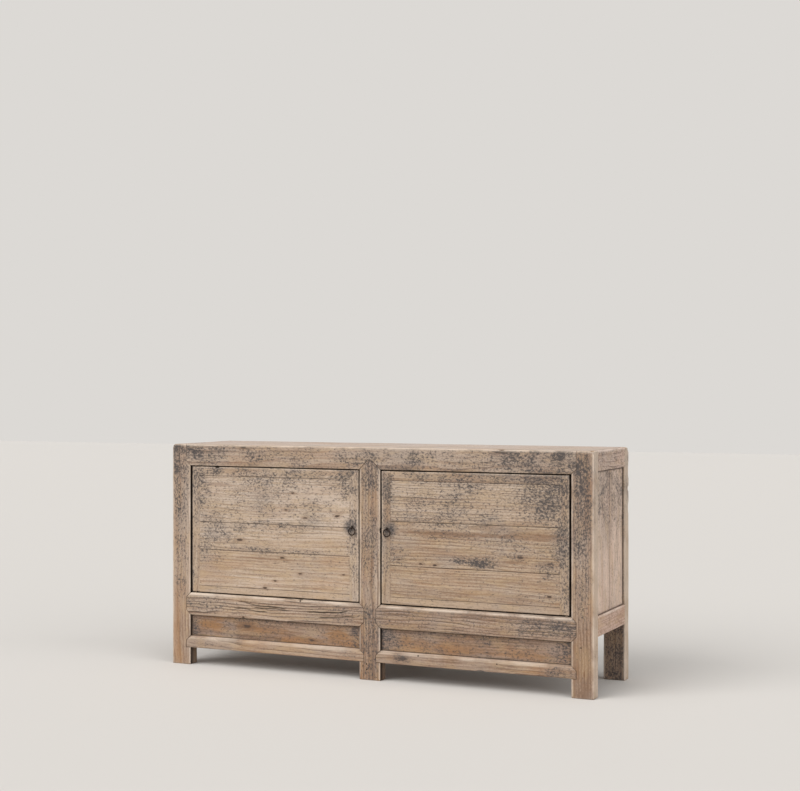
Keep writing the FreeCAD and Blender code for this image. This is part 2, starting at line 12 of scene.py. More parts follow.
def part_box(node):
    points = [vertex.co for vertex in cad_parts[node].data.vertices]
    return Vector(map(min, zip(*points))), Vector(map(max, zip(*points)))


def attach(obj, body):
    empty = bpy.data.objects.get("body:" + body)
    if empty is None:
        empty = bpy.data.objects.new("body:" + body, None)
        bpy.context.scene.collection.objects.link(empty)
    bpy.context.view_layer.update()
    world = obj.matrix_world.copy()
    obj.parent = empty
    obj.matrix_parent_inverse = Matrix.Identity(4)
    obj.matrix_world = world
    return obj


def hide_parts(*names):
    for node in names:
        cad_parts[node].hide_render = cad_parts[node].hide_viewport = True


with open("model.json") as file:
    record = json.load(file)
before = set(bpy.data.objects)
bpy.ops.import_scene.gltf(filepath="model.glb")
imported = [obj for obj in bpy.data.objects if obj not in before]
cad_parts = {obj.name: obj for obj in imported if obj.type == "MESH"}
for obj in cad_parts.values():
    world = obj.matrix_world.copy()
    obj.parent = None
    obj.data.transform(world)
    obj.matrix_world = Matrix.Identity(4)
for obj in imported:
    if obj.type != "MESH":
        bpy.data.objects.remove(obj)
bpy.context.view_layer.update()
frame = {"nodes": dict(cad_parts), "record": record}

# What the record says of each node: the body that it moves with.
bodies = frame["record"]["behaviour"]["bodies"]
body_of = {node: body for body, nodes in bodies.items() for node in nodes}

# Real sizes are written in millimetres and turned to metres by MM. FAR is in metres, beyond every timber.
MM = 0.001
FAR = 1.0
X, Y, Z = 0, 1, 2
FRONT = -204.0
DOOR_FRONT = -202.75
APRON_FRONT = -193.25
BACK = 216.0

# How far the timbers have rounded with age.
CROWN = 11.0
ARRIS = 3.4
SEAM = 2.0
FINE_SEAM = 0.4
BEVEL_STEPS = 4

# How finely a worn copy is cut: along a timber, across it, near its sides and round its dents.
SHOWN_CUT = 16.0
HIDDEN_CUT = 60.0
BOARD_CUT = 28.0
EDGE_CUTS = (4.0, 9.0, 12.0, 14.0, 22.0)
EDGE_ROOM = 2.5
LEAST_CUT = 1.5
DENT_CUTS = 4
MOUTH_STEP = 2.0

# What counts as the same point, on a cut, on a side, flat, sharp, shaded sharp, square, upright and facing.
SAME_POINT = 0.01
ON_CUT = 0.02
ON_SIDE = 0.1
FLAT = math.radians(1)
SHARP = math.radians(35)
SHADED_SHARP = math.radians(40)
SQUARE = 0.99
UPRIGHT = 0.9
FACING = 0.5

# How far in from an edge or a crown the wood is rubbed pale, and how much of it by where it is; along a crown
# the pale band is also a painted highlight.
WEAR_REACH = 8.0
CROWN_WEAR_AND_HIGHLIGHT = 15.0
RIM_WEAR_AND_HIGHLIGHT = 1.6
UNDER_WEAR = 0.15
DOOR_WEAR = 0.5
LOW_RAIL_WEAR_AND_HIGHLIGHT = 0.45
GAP_WEAR = 0.4
BLEACHED = 0.5
BLEACHED_SHADE = 0.4

# Where painted shade starts and darkens in the gap round a door, how far in it thins and how dark it stays
# there, and how far painted shade lies out of a groove.
GAP_START = 1.0
CROWN_GAP_START = 7.0
GAP_FADE = 1.4
GAP_END = 12.0
GAP_END_FADE = 8.0
GAP_DEEP_SHADE = 0.42
GROOVE_START = 8.0
GROOVE_FADE = 3.5
END_GROOVE_FADE = 7.0

# How far faces have settled, edges have thinned and splits wander, each with the length of its waves.
SETTLING = 0.3
SETTLING_WAVE = 150.0
THINNING = 1.2
THINNING_WAVE = 130.0
THINNED = 4.5
SPLIT_WAVER = 6.0
SPLIT_WAVE = 60.0

# A dent starts and ends at one point, and a hair between them makes it a line.
HAIR = 0.001

# How little paint is left on edges, how firm its patches are, and how damp floors have browned the feet.
EDGE_PAINT = 0.3
PATCH_FIRM = 1.7
FOOT_TOP = 330.0
FOOT_FADE = 180.0
FOOT_SHADE = 0.36
FOOT_WARMTH = 0.2

# Growth rings in old elm are about 3 mm apart and are drawn at 10 so that they show.
RING = 10.0

# How far apart timbers lie in the grain's pattern, in metres, and how deep, aside and aslant the heart is.
GRAIN_SPREAD = 90
HEART_DEPTH = (30.0, 110.0)
HEART_OFFSET = (0.45, 0.9)
HEART_LEAN = 0.03

# How deep marks go into a face, how much longer than wide a knot is, and how well a flake hides the wood.
MARK_DEPTH = 25.0
KNOT_LENGTH = 2.6
FLAKE_COVER = 0.92

# Colours of what has marked the wood, and of the iron.
RAIN_GREY = "#a3978d"
OLD_FINISH = "#a07143"
STRAW = "#b99c74"
CHECK = "#43342a"
PORE = "#54463c"
SOAKED = "#7b5a40"
RESIN = "#966c42"
KNOT = "#453327"
HAND_GREY = "#65605d"
PAINT_VEIL = "#857870"
PAINT = "#444040"
# The next colour darkens joints and splits as dirt, and the gaps round the doors and the panels' grooves as
# painted shade.
DIRT_AND_SHADE = "#1d1510"
HOLE = "#33291f"
IRON = "#2a2623"
RUST = "#463327"

# Timbers by words in their names: crowned, inside, out of sight, panels, and with upright joints still close.
CROWNED = ("left_middle_rail", "right_middle_rail", "left_low_rail", "right_low_rail")
INNER = ("bearer", "batten", "floor", "shelf", "stops")
HIDDEN = INNER + ("back_lower", "back_upper", "back_low_rail", "back_centre", "back_top_rail")
PANELS = ("board", "apron")
CLOSE = ("_door_", "front_top_rail")

# Timbers whose grain runs up, and then, of the others, those whose grain runs from front to back.
UP_GRAIN = ("leg", "post", "stile", "door_battens", "door_stops", "side_front_board", "side_back_board")
BACK_GRAIN = ("side_", "bearer", "top_battens")

# The ways in which timbers look into the gap round a door.
GAP_SIDES = {
    "left_front_leg": ((1, 0, 0),),
    "right_front_leg": ((-1, 0, 0),),
    "front_centre_post": ((1, 0, 0), (-1, 0, 0)),
    "front_top_rail": ((0, 0, -1),),
    "left_middle_rail": ((0, 0, 1),),
    "right_middle_rail": ((0, 0, 1),),
}

# The sides by which panels stand in the grooves of their frame, each an axis and an end of it.
GROOVES = {
    "apron": ((X, 0), (X, 1), (Z, 0), (Z, 1)),
    "side_front_board": ((Y, 0), (Z, 0), (Z, 1)),
    "side_back_board": ((Y, 1), (Z, 0), (Z, 1)),
}

# Camera, fitted to the timbers' corners.
CAMERA_PLACE = (2374.9, -5106.2, 1045.2)
CAMERA_YAW = 24.699
CAMERA_PITCH = -0.189
CAMERA_LENS = 67.98

# Node settings used again and again: a soft step between two values, and a mix of colours.
SOFT = {"interpolation_type": "SMOOTHSTEP"}
COLOURS = {"data_type": "RGBA"}


def linear(code):
    """An sRGB hex colour as linear RGBA."""
    parts = [int(code[at:at + 2], 16) / 255 for at in (1, 3, 5)]
    return [c / 12.92 if c <= 0.04045 else ((c + 0.055) / 1.055) ** 2.4 for c in parts] + [1.0]


def add(tree, kind, inputs=(), out=0, **settings):
    """Adds a node with its settings and its inputs, linked or set, by order or by name; gives one output."""
    node = tree.nodes.new("ShaderNode" + kind)
    for key, value in settings.items():
        setattr(node, key, value)
    for key, value in inputs.items() if isinstance(inputs, dict) else enumerate(inputs):
        if isinstance(value, bpy.types.NodeSocket):
            tree.links.new(value, node.inputs[key])
        else:
            node.inputs[key].default_value = value
    return node.outputs[out] if node.outputs else None


def new_material(name):
    """An empty material with its surface shader; gives material, tree and shader."""
    material = bpy.data.materials.new(name)
    material.use_nodes = True
    tree = material.node_tree
    return material, tree, tree.nodes["Principled BSDF"]


def bare_wood(name, tones, front):
    """A wood with nothing drawn on it yet: its shader, its tones and what the timbers tell it."""
    material, tree, shader = new_material(name)
    wood = SimpleNamespace(material=material, tree=tree, shader=shader, front=front)
    wood.brown, wood.tan, wood.pale, wood.worn = (linear(tone) for tone in tones)
    wood.wear = add(tree, "Attribute", out="Fac", attribute_name="wear")
    wood.paint = add(tree, "Attribute", out="Fac", attribute_name="paint")
    wood.grime = add(tree, "Attribute", out="Fac", attribute_name="grime")
    nature = add(tree, "Attribute", out="Vector", attribute_name="nature").node
    wood.shade, wood.split, wood.warm = add(tree, "SeparateXYZ", (nature.outputs["Vector"],)).node.outputs
    wood.bold = nature.outputs["Alpha"]
    wood.place = add(tree, "TexCoord", out="Object")

    # The grain, drawn out to several lengths, so that one cell of a pattern is long and narrow.
    wood.grain = add(tree, "Attribute", out="Vector", attribute_name="grain")
    wood.short = add(tree, "VectorMath", (wood.grain, (0.7, 1, 1)), operation="MULTIPLY")
    wood.slow = add(tree, "VectorMath", (wood.grain, (1 / 4, 1, 1)), operation="MULTIPLY")
    wood.dashed = add(tree, "VectorMath", (wood.grain, (1 / 9, 1, 1)), operation="MULTIPLY")
    wood.drawn = add(tree, "VectorMath", (wood.grain, (1 / 40, 1, 1)), operation="MULTIPLY")
    return wood


def draw_rings(wood):
    """Growth rings round the heart of the trunk, fat and lean by the year, waving by a centimetre or so."""
    tree = wood.tree
    from_heart = add(tree, "VectorMath", (wood.grain, (0, 1, 1)), operation="MULTIPLY")
    radius = add(tree, "VectorMath", (from_heart,), "Value", operation="LENGTH")
    years = add(tree, "TexNoise", {"W": radius, "Scale": 1 / (28 * MM), "Detail": 2.0}, "Fac",
                noise_dimensions="1D")
    radius = add(tree, "Math", (years, 16 * MM, radius), operation="MULTIPLY_ADD")
    waver = add(tree, "TexNoise", {"Vector": wood.slow, "Scale": 1 / (90 * MM), "Detail": 3.0}, "Fac")
    waver = add(tree, "Math", (waver, wood.bold), operation="MULTIPLY")
    radius = add(tree, "Math", (waver, 22 * MM, radius), operation="MULTIPLY_ADD")
    turns = add(tree, "Math", (radius, RING * MM), operation="DIVIDE")
    wood.ring = add(tree, "Math", (turns,), operation="FRACT")


def draw_grain(wood):
    """The wood's own colour, from pale early wood to brown late wood, streaked by its fibres."""
    tree = wood.tree
    early = add(tree, "MapRange", (wood.ring, 0.3, 0.95, 1.0, 0.0), **SOFT)

    # Real fibres are under a millimetre wide and are drawn at five so that they show.
    fibre = add(tree, "TexNoise",
                {"Vector": wood.drawn, "Scale": 1 / (5 * MM), "Detail": 5.0, "Roughness": 0.6}, "Fac")
    wood.fibre = add(tree, "MapRange", (fibre, 0.3, 0.7, 0.0, 1.0), **SOFT)
    figure = add(tree, "TexNoise", {"Vector": wood.drawn, "Scale": 1 / (45 * MM), "Detail": 3.0}, "Fac")
    figure = add(tree, "MapRange", (figure, 0.32, 0.68, 0.0, 1.0), **SOFT)
    wood.speck = add(tree, "TexNoise",
                     {"Vector": wood.short, "Scale": 1 / (5.5 * MM), "Roughness": 0.6}, "Fac")
    layers = add(tree, "CombineXYZ", (figure, early, wood.fibre))
    tone = add(tree, "VectorMath", (layers, (0.34, 0.28, 0.38)), "Value", operation="DOT_PRODUCT")
    tone = add(tree, "Math", (wood.speck, 0.7, tone), operation="MULTIPLY_ADD")
    tone = add(tree, "Math", (tone, 0.85), operation="SUBTRACT")
    tone = add(tree, "Math", (tone, wood.bold, wood.shade), operation="MULTIPLY_ADD")
    share = add(tree, "MapRange", (tone, -0.6, 0.0, 0.0, 1.0), **SOFT)
    wood.colour = add(tree, "Mix", {0: share, 6: wood.brown, 7: wood.tan}, 2, **COLOURS)
    share = add(tree, "MapRange", (tone, -0.1, 0.5, 0.0, 1.0), **SOFT)
    wood.colour = add(tree, "Mix", {0: share, 6: wood.colour, 7: wood.pale}, 2, **COLOURS)


def weather(wood):
    """Greyed where rain has stood, browned by old finish, straw-coloured where it was scrubbed."""
    tree = wood.tree
    faded = add(tree, "TexNoise", {"Vector": wood.place, "Scale": 1 / (150 * MM), "Detail": 3.0}, "Fac")
    faded = add(tree, "MapRange", (faded, 0.46, 0.7, 0.0, 0.35), **SOFT)
    wood.colour = add(tree, "Mix", {0: faded, 6: wood.colour, 7: linear(RAIN_GREY)}, 2, **COLOURS)
    stained = add(tree, "TexNoise", {"Vector": wood.slow, "Scale": 1 / (55 * MM), "Detail": 3.0}, "Fac")
    stained = add(tree, "MapRange", (stained, 0.46, 0.66, 0.0, 1.0), **SOFT)
    stained = add(tree, "Math", (stained, wood.warm), operation="MULTIPLY")
    wood.colour = add(tree, "Mix", {0: stained, 6: wood.colour, 7: linear(OLD_FINISH)}, 2, **COLOURS)
    straw = add(tree, "TexNoise", {"Vector": wood.slow, "Scale": 1 / (24 * MM), "Detail": 3.0}, "Fac")
    straw = add(tree, "MapRange", (straw, 0.45, 0.66, 0.0, 0.3), **SOFT)
    wood.colour = add(tree, "Mix", {0: straw, 6: wood.colour, 7: linear(STRAW)}, 2, **COLOURS)


def open_checks(wood):
    """Drying checks: dark lines that follow the rings, in groups, each with a pale lip, a painted highlight.
    """
    tree = wood.tree
    grouped = add(tree, "TexNoise", {"Vector": wood.slow, "Scale": 1 / (45 * MM)}, "Fac")
    grouped = add(tree, "Math", (wood.split, 0.16, grouped), operation="MULTIPLY_ADD")
    grouped = add(tree, "MapRange", (grouped, 0.52, 0.7, 0.0, 1.0), **SOFT)
    grouped = add(tree, "Math", (grouped, wood.split), operation="MULTIPLY")
    # The pale lip beside each check is a painted highlight.
    lip_highlight = add(tree, "MapRange", (wood.ring, 0.0, 0.3, 1.0, 0.0), **SOFT)
    lip_highlight = add(tree, "Math", (lip_highlight, grouped), operation="MULTIPLY")
    wood.colour = add(tree, "Mix", {0: lip_highlight, 6: wood.colour, 7: wood.pale}, 2, **COLOURS)
    check = add(tree, "MapRange", (wood.ring, 0.66, 0.84, 0.0, 0.9), **SOFT)
    wood.check = add(tree, "Math", (check, grouped), operation="MULTIPLY")
    wood.colour = add(tree, "Mix", {0: wood.check, 6: wood.colour, 7: linear(CHECK)}, 2, **COLOURS)


def open_pores(wood):
    """Short dark dashes along the grain, deeper in a timber that has split."""
    tree = wood.tree

    # Elm's pores are a third of a millimetre wide and are drawn at three and a half so that they show.
    pore = add(tree, "TexNoise", {"Vector": wood.dashed, "Scale": 1 / (3.5 * MM), "Detail": 1.0}, "Fac")
    pore = add(tree, "MapRange", (pore, 0.58, 0.72, 0.0, 1.0), **SOFT)
    deep = add(tree, "MapRange", (wood.split, 0.0, 1.0, 0.24, 0.55))
    pore = add(tree, "Math", (pore, deep), operation="MULTIPLY")
    wood.colour = add(tree, "Mix", {0: pore, 6: wood.colour, 7: linear(PORE)}, 2, **COLOURS)


def mark_by_saw(wood, angle):
    """Brown strokes left by a pit saw, sloping across the timber."""
    tree = wood.tree
    spread = (1 / (26 * MM), 1 / (26 * MM), 1 / (5 * MM))
    strokes = add(tree, "Mapping", {"Vector": wood.place, "Rotation": (math.radians(angle), 0, 0)})
    strokes = add(tree, "VectorMath", (strokes, spread), operation="MULTIPLY")
    sawn = add(tree, "TexNoise", {"Vector": strokes, "Scale": 1.0}, "Fac")
    sawn = add(tree, "MapRange", (sawn, 0.48, 0.66, 0.0, 0.6), **SOFT)
    wood.colour = add(tree, "Mix", {0: sawn, 6: wood.colour, 7: wood.brown}, 2, **COLOURS)


def from_mark(wood, x, z, reach_x, reach_z, ragged):
    """How far a point is from a mark on the face, as a share of its reach, made ragged by the grain."""
    tree = wood.tree
    shape = (1 / (reach_x * MM), 1 / (MARK_DEPTH * MM), 1 / (reach_z * MM))
    centre = (x / reach_x, wood.front / MARK_DEPTH, z / reach_z)
    spread = add(tree, "VectorMath", (wood.place, shape), operation="MULTIPLY")
    apart = add(tree, "VectorMath", (spread, centre), "Value", operation="DISTANCE")
    return add(tree, "Math", (wood.uneven, ragged, apart), operation="MULTIPLY_ADD")


def soak_streaks(wood, streaks, stain):
    """Streaks where resin or old finish soaked in, uneven at their ends."""
    tree = wood.tree
    for x, z, reach_x, reach_z, share in streaks:
        apart = from_mark(wood, x, z, reach_x, reach_z, 1.2)
        soaked = add(tree, "MapRange", (apart, 0.3, 1.1, share, 0.0), **SOFT)
        wood.colour = add(tree, "Mix", {0: soaked, 6: wood.colour, 7: linear(stain)}, 2, **COLOURS)


def grow_knots(wood, knots):
    """Dark knots with a brown halo, longer along the timber than across it."""
    tree = wood.tree
    for x, z, size in knots:
        apart = from_mark(wood, x, z, KNOT_LENGTH * size, size, 2.4)
        halo = add(tree, "MapRange", (apart, 0.8, 3.4, 0.6, 0.0), **SOFT)
        wood.colour = add(tree, "Mix", {0: halo, 6: wood.colour, 7: wood.brown}, 2, **COLOURS)
        core = add(tree, "MapRange", (apart, 0.6, 1.3, 1.0, 0.0), **SOFT)
        wood.colour = add(tree, "Mix", {0: core, 6: wood.colour, 7: linear(KNOT)}, 2, **COLOURS)


def grey_by_hands(wood, pull):
    """A grey round behind each ring pull, where hands and iron have marked the outside of the door."""
    tree = wood.tree
    across, depth, up = add(tree, "SeparateXYZ", (wood.place,)).node.outputs
    across = add(tree, "Math", (across,), operation="ABSOLUTE")
    level = add(tree, "CombineXYZ", (across, 0.0, up))
    reach = add(tree, "VectorMath", (level, (pull[0] + 9 * MM, 0.0, pull[1])), "Value", operation="DISTANCE")
    ragged = add(tree, "Math", (wood.speck, 22 * MM, reach), operation="MULTIPLY_ADD")
    touched = add(tree, "MapRange", (ragged, 26 * MM, 50 * MM, 0.6, 0.0), **SOFT)
    outside = add(tree, "MapRange", (depth, (wood.front + 8) * MM, (wood.front + 12) * MM, 1.0, 0.0))
    touched = add(tree, "Math", (touched, outside), operation="MULTIPLY")
    wood.colour = add(tree, "Mix", {0: touched, 6: wood.colour, 7: linear(HAND_GREY)}, 2, **COLOURS)


def keep_paint(wood):
    """Old dark paint: a thin grey veil, and flakes of a millimetre to a centimetre where it held."""
    tree = wood.tree
    patchy = add(tree, "TexNoise", {"Vector": wood.place, "Scale": 1 / (60 * MM), "Detail": 3.0}, "Fac")
    patchy = add(tree, "MapRange", (patchy, 0.3, 0.7, 0.72, 1.22), **SOFT)
    cover = add(tree, "Math", (wood.paint, patchy), operation="MULTIPLY")
    veil = add(tree, "Math", (cover, 0.5), operation="MULTIPLY")
    wood.colour = add(tree, "Mix", {0: veil, 6: wood.colour, 7: linear(PAINT_VEIL)}, 2, **COLOURS)
    bare = add(tree, "MapRange", (cover, 0.0, 1.0, 0.68, 0.38))
    flake = add(tree, "TexNoise",
                {"Vector": wood.short, "Scale": 1 / (6.5 * MM), "Detail": 4.0, "Roughness": 0.75}, "Fac")
    flake = add(tree, "Math", (flake, bare), operation="SUBTRACT")
    wood.flake = add(tree, "MapRange", (flake, -0.08, 0.13, 0.0, FLAKE_COVER), **SOFT)
    wood.colour = add(tree, "Mix", {0: wood.flake, 6: wood.colour, 7: linear(PAINT)}, 2, **COLOURS)


def rub_edges(wood):
    """Edges rubbed pale, more in some places than in others; along the crowned rails the pale is partly a
    painted highlight.
    """
    tree = wood.tree
    often = add(tree, "TexNoise", {"Vector": wood.place, "Scale": 1 / (95 * MM), "Detail": 3.0}, "Fac")
    often = add(tree, "MapRange", (often, 0.32, 0.62, 0.2, 0.95), **SOFT)
    rubbed = add(tree, "Math", (wood.wear, often), operation="MULTIPLY")
    wood.colour = add(tree, "Mix", {0: rubbed, 6: wood.colour, 7: wood.worn}, 2, **COLOURS)


def gather_dirt_and_shade(wood, holes):
    """Dark dirt in the joints, painted shade in the gaps round the doors and along the panels' grooves, and
    old nail and worm holes.
    """
    tree = wood.tree
    uneven_dark = add(tree, "TexNoise", {"Vector": wood.slow, "Scale": 1 / (30 * MM)}, "Fac")
    uneven_dark = add(tree, "MapRange", (uneven_dark, 0.3, 0.6, 0.85, 1.0), **SOFT)
    # Darkened by dirt in joints and splits, and by painted shade in the gaps and along the grooves.
    dirt_and_shade = add(tree, "Math", (wood.grime, uneven_dark), operation="MULTIPLY")
    wood.colour = add(tree, "Mix", {0: dirt_and_shade, 6: wood.colour, 7: linear(DIRT_AND_SHADE)}, 2, **COLOURS)
    for x, z, size in holes:
        centre = (x * MM, wood.front * MM, z * MM)
        apart = add(tree, "VectorMath", (wood.place, centre), "Value", operation="DISTANCE")
        hole = add(tree, "MapRange", (apart, 0.6 * size * MM, 1.5 * size * MM, 0.95, 0.0), **SOFT)
        wood.colour = add(tree, "Mix", {0: hole, 6: wood.colour, 7: linear(HOLE)}, 2, **COLOURS)


def set_surface(wood):
    """Dry and dull, with fibres raised, checks sunk, and a little more shine on the paint."""
    tree, shader = wood.tree, wood.shader
    raised = add(tree, "CombineXYZ", (wood.fibre, wood.check, wood.flake))
    rise = add(tree, "VectorMath", (raised, (0.5, -1.0, 0.3)), "Value", operation="DOT_PRODUCT")
    bump = add(tree, "Bump", {"Strength": 0.7, "Distance": 0.9 * MM, "Height": rise})
    rough = add(tree, "MapRange", (wood.flake, 0.0, FLAKE_COVER, 0.86, 0.68))
    tree.links.new(wood.colour, shader.inputs["Base Color"])
    tree.links.new(bump, shader.inputs["Normal"])
    tree.links.new(rough, shader.inputs["Roughness"])
    shader.inputs["Specular IOR Level"].default_value = 0.25


def old_wood(name, tones, front=FRONT, knots=(), streaks=(), stain=SOAKED, holes=(), pull=None,
             saw_angle=None):
    """Bleached old timber: growth rings, drying checks, flakes of old paint, pale worn edges.

    tones are brown, tan, pale and worn. knots and holes are (x, z, radius) on the face at depth front, and
    streaks are (x, z, reach_x, reach_z, share) on it, of the colour stain. pull is the (x, z) of the ring
    pull on the right, in metres. saw_angle is the slope of saw marks across the timber.
    """
    wood = bare_wood(name, tones, front)
    uneven = add(wood.tree, "TexNoise", {"Vector": wood.slow, "Scale": 1 / (6 * MM)}, "Fac")
    wood.uneven = add(wood.tree, "Math", (uneven, 0.5), operation="SUBTRACT")
    draw_rings(wood)
    draw_grain(wood)
    weather(wood)
    open_checks(wood)
    open_pores(wood)
    if saw_angle is not None:
        mark_by_saw(wood, saw_angle)
    soak_streaks(wood, streaks, stain)
    grow_knots(wood, knots)
    if pull:
        grey_by_hands(wood, pull)
    keep_paint(wood)
    rub_edges(wood)
    gather_dirt_and_shade(wood, holes)
    set_surface(wood)
    return wood.material


def forged_iron():
    """Blacksmith's iron: dark, dull, browned by rust in the hollows."""
    material, tree, shader = new_material("forged_iron")
    place = add(tree, "TexCoord", out="Object")
    patches = add(tree, "TexNoise", {"Vector": place, "Scale": 1 / (6 * MM), "Detail": 4.0}, "Fac")
    share = add(tree, "MapRange", (patches, 0.42, 0.66, 0.0, 1.0))
    colour = add(tree, "Mix", {0: share, 6: linear(IRON), 7: linear(RUST)}, 2, **COLOURS)
    rough = add(tree, "MapRange", (patches, 0.3, 0.7, 0.5, 0.8))
    bump = add(tree, "Bump", {"Strength": 0.5, "Distance": 0.4 * MM, "Height": patches})
    tree.links.new(colour, shader.inputs["Base Color"])
    tree.links.new(rough, shader.inputs["Roughness"])
    tree.links.new(bump, shader.inputs["Normal"])
    shader.inputs["Metallic"].default_value = 0.75
    return material


# Old paint left on each timber: a share all over, then patches (x, z, reach_x, reach_z, share).
OLD_PAINT = {
    "left_door": (0.20, (
        (-400, 765, 480, 140, 0.54), (-755, 660, 140, 260, 0.58), (-60, 740, 170, 150, 0.72),
        (-690, 430, 130, 80, 0.50), (-420, 620, 520, 200, 0.40), (-46, 540, 80, 380, 0.52),
        (-755, 400, 50, 240, 0.52), (-620, 545, 220, 130, 0.50), (-400, 450, 380, 22, 0.52),
        (-400, 548, 330, 24, 0.54), (-680, 750, 150, 50, 0.66), (-72, 552, 44, 40, 0.9))),
    "right_door": (0.22, (
        (400, 770, 470, 150, 0.60), (720, 700, 300, 200, 0.70), (755, 520, 90, 360, 0.68),
        (400, 530, 380, 40, 0.46), (90, 460, 110, 70, 0.52), (375, 446, 100, 18, 0.74),
        (330, 640, 420, 180, 0.48), (690, 430, 110, 50, 0.48), (640, 330, 160, 40, 0.40),
        (46, 560, 90, 420, 0.52), (560, 500, 250, 60, 0.42), (72, 548, 40, 36, 0.8),
        (58, 700, 60, 150, 0.66), (440, 436, 90, 22, 0.80))),
    "front_top_rail": (0.44, (
        (-740, 812, 260, 60, 0.72), (-440, 800, 260, 40, 0.64), (640, 805, 330, 90, 0.66),
        (180, 805, 200, 50, 0.60), (-60, 800, 200, 50, 0.62), (760, 815, 130, 60, 0.86),
        (-800, 815, 90, 55, 0.92))),
    "left_front_leg": (0.14, (
        (-800, 700, 58, 330, 0.60), (-800, 420, 48, 280, 0.54), (-815, 800, 60, 110, 0.96))),
    "right_front_leg": (0.16, ((797, 690, 56, 380, 0.82), (800, 380, 50, 240, 0.50))),
    "front_centre_post": (0.20, (
        (0, 500, 62, 320, 0.52), (0, 740, 70, 160, 0.58), (0, 228, 60, 70, 0.66), (0, 110, 90, 190, 0.52))),
    "left_middle_rail": (0.22, ((-700, 235, 140, 60, 0.56), (-100, 235, 140, 60, 0.44))),
    "right_middle_rail": (0.32, ((680, 228, 260, 60, 0.62), (100, 235, 120, 60, 0.46))),
    "left_low_rail": (0.14, ((-700, 90, 120, 60, 0.30), (-90, 85, 60, 30, 0.45))),
    "right_low_rail": (0.14, ((720, 82, 90, 40, 0.60), (125, 88, 60, 24, 0.62))),
    "left_apron": (0.36, ((-748, 150, 50, 80, 0.62), (-52, 150, 60, 80, 0.70), (-400, 186, 380, 22, 0.50))),
    "right_apron": (0.40, ((745, 150, 110, 80, 0.72), (64, 150, 110, 80, 0.70), (400, 186, 380, 22, 0.50))),
    "side_top_rail": (0.38, ()),
    "side_low_rail": (0.12, ()),
    # The back legs' share darkens their front faces, seen under the carcass: painted shade, drawn with the
    # look of old paint.
    "back_leg": (0.62, ()),
    "side": (0.20, ((840, 740, 400, 280, 0.56), (-840, 740, 400, 280, 0.56))),
}

# Dents and splits: timber, start, end, reach and depth.
DENTS = (
    ("front_centre_post", (42, FRONT, 541), (42, FRONT, 541), 12, 5.0),
    ("front_top_rail", (506, FRONT, 838), (506, FRONT, 838), 15, 4.0),
    ("front_top_rail", (-210, FRONT, 840), (-210, FRONT, 840), 12, 2.5),
    ("right_low_rail", (428, FRONT, 65), (428, FRONT, 65), 18, 4.0),
    ("left_middle_rail", (-285, FRONT, 275), (-285, FRONT, 275), 12, 3.0),
    ("left_middle_rail", (-528, FRONT, 190), (-528, FRONT, 190), 10, 2.5),
    ("left_middle_rail", (-540, FRONT, 250), (-350, FRONT, 237), 2.6, 3.0),
    ("left_middle_rail", (-480, FRONT, 238), (-330, FRONT, 230), 2.6, 2.5),
    ("left_middle_rail", (-560, FRONT, 226), (-430, FRONT, 222), 2.4, 2.0),
    ("left_middle_rail", (-250, FRONT, 229), (-90, FRONT, 241), 2.6, 3.0),
    ("left_middle_rail", (-210, FRONT, 217), (-60, FRONT, 222), 2.4, 2.0),
    ("left_door_top_rail", (-643, -203, 757), (-643, -203, 757), 11, 6.0),
    ("right_front_leg", (840, FRONT, 840), (840, FRONT, 840), 18, 4.0),
    ("left_front_leg", (-840, FRONT, 840), (-840, FRONT, 840), 14, 3.0),
    ("right_back_leg", (840, BACK, 838), (840, BACK, 838), 16, 4.0),
    ("right_back_leg", (840, BACK, 770), (840, BACK, 742), 9, 3.0),
    ("right_back_leg", (840, BACK, 690), (840, BACK, 690), 12, 3.0),
    ("right_back_leg", (840, BACK, 634), (840, BACK, 612), 8, 2.5),
)

# Each timber's nature: lighter or darker, how far it has split, how warm its stains, how bold its figure.
# The right-hand timbers are set darker than the left-hand ones: partly their own tone, partly painted shade
# for light that falls off to the right.
NATURES = {
    "left_door_upper": (0.20, 0.35, 0.15, 1.0), "left_door_middle": (0.06, 0.3, 0.1, 0.9),
    "left_door_lower": (-0.06, 0.25, 0.25, 1.0), "right_door_upper": (-0.04, 0.5, 0.15, 1.0),
    "right_door_middle": (-0.30, 0.35, 0.35, 1.0), "right_door_lower": (-0.30, 0.25, 0.3, 0.9),
    "left_door_": (-0.02, 0.2, 0.2, 0.7), "right_door_": (-0.24, 0.2, 0.25, 0.6),
    "side_top_rail": (0.60, 0.55, 0.15, 1.8), "side_low_rail": (0.02, 0.3, 0.2, 0.8),
    "left_middle_rail": (-0.08, 0.8, 0.1, 1.6), "right_middle_rail": (-0.40, 0.7, 0.1, 1.4),
    "left_low_rail": (-0.28, 0.45, 0.3, 1.0), "right_low_rail": (-0.48, 0.45, 0.35, 1.1),
    "right_apron": (-0.32, 0.3, 0.6, 1.2), "left_apron": (-0.06, 0.3, 0.75, 1.2),
    "front_centre_post": (-0.14, 0.5, 0.3, 1.4),
    "right_front_leg": (-0.24, 0.1, 0.3, 1.2), "left_front_leg": (0.14, 0.15, 0.25, 1.0),
    "front_top_rail": (0.28, 0.4, 0.2, 1.6),
    "back_upper": (0.0, 0.6, 0.2, 1.1), "back_lower": (-0.06, 0.6, 0.2, 1.1),
    "side": (0.32, 0.6, 0.1, 1.5),
}
USUAL_NATURE = (0.04, 0.35, 0.2, 1.0)


def clamp(value, low=0.0, high=1.0):
    """A value held between two others."""
    return min(high, max(low, value))


def named(node, words):
    """Whether a timber's name has one of several words in it."""
    return any(word in node for word in words)


def first_named(node, table, usual):
    """What a table holds under the first of its words that is in a timber's name, or else the usual."""
    return next((entry for word, entry in table.items() if word in node), usual)


